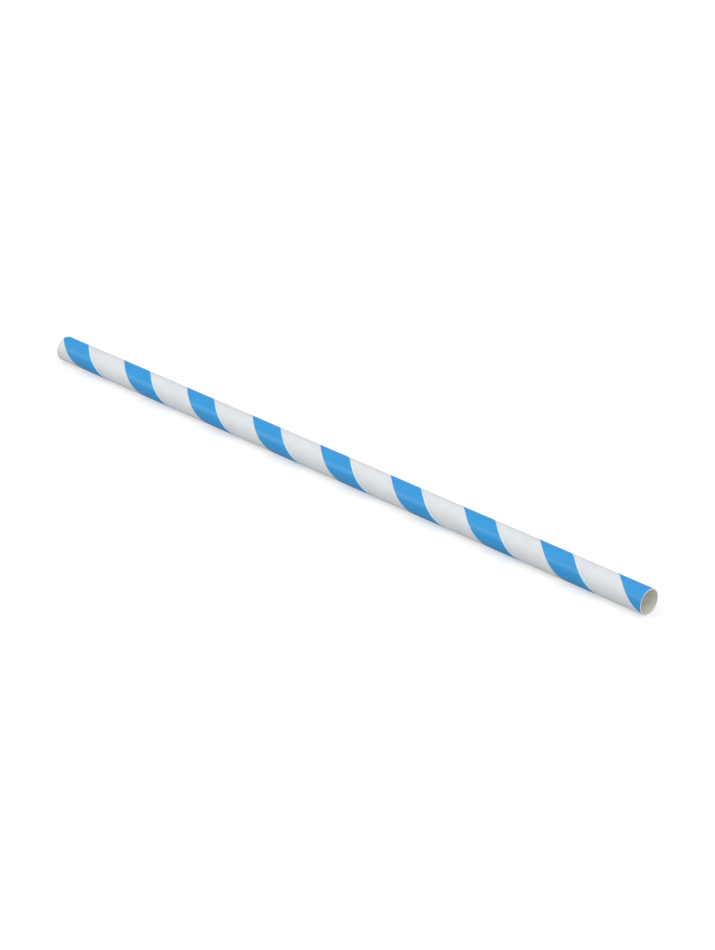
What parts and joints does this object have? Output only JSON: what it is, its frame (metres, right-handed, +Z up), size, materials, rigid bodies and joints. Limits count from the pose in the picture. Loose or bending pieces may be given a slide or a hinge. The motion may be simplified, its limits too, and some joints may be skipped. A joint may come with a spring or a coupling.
{
  "type": "paper drinking straw",
  "caption": "Straight drinking straw wound from glued paper strips, open at both ends, with a printed stripe that winds round it.",
  "frame": {"origin": "centre of the straw's footprint, on the surface that it lies on", "axes": "+X along the straw towards the end nearest the viewer in the picture, +Z up, away from the surface"},
  "size_m": [0.2032, 0.0066, 0.0065],
  "materials": {
    "printed_paper": "matt uncoated paper, smooth, with one printed blue stripe"
  },
  "bodies": {
    "root": {"straw": "printed_paper"}
  },
  "joints": []
}
